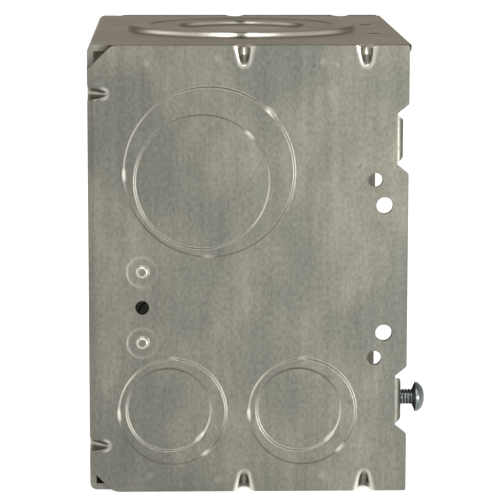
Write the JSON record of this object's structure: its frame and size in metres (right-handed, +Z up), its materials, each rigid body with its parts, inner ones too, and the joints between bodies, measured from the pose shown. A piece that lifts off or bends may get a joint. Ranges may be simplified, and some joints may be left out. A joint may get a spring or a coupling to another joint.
{
  "type": "square electrical box",
  "caption": "Open-fronted square steel electrical box with round pry-out knockouts, welded folded corners, inturned screw ears and cover screws.",
  "frame": {"origin": "bottom centre of the whole part's bounding box, cover screws included: the bottom wall's outer face is Z = 0", "axes": "+Z up as the box stands in the picture, +X out of the open front, the closed back plate faces -X, +Y from the near side wall to the far one"},
  "size_m": [0.0866, 0.1166, 0.1168],
  "materials": {
    "galvanised_steel": "galvanised sheet, satin",
    "zinc_plated_lower_screw": "bright zinc plated",
    "zinc_plated_upper_screw": "bright zinc plated"
  },
  "bodies": {
    "root": {"box_body": "galvanised_steel", "cover_screw_near": "zinc_plated_lower_screw", "cover_screw_far": "zinc_plated_upper_screw"}
  },
  "joints": []
}
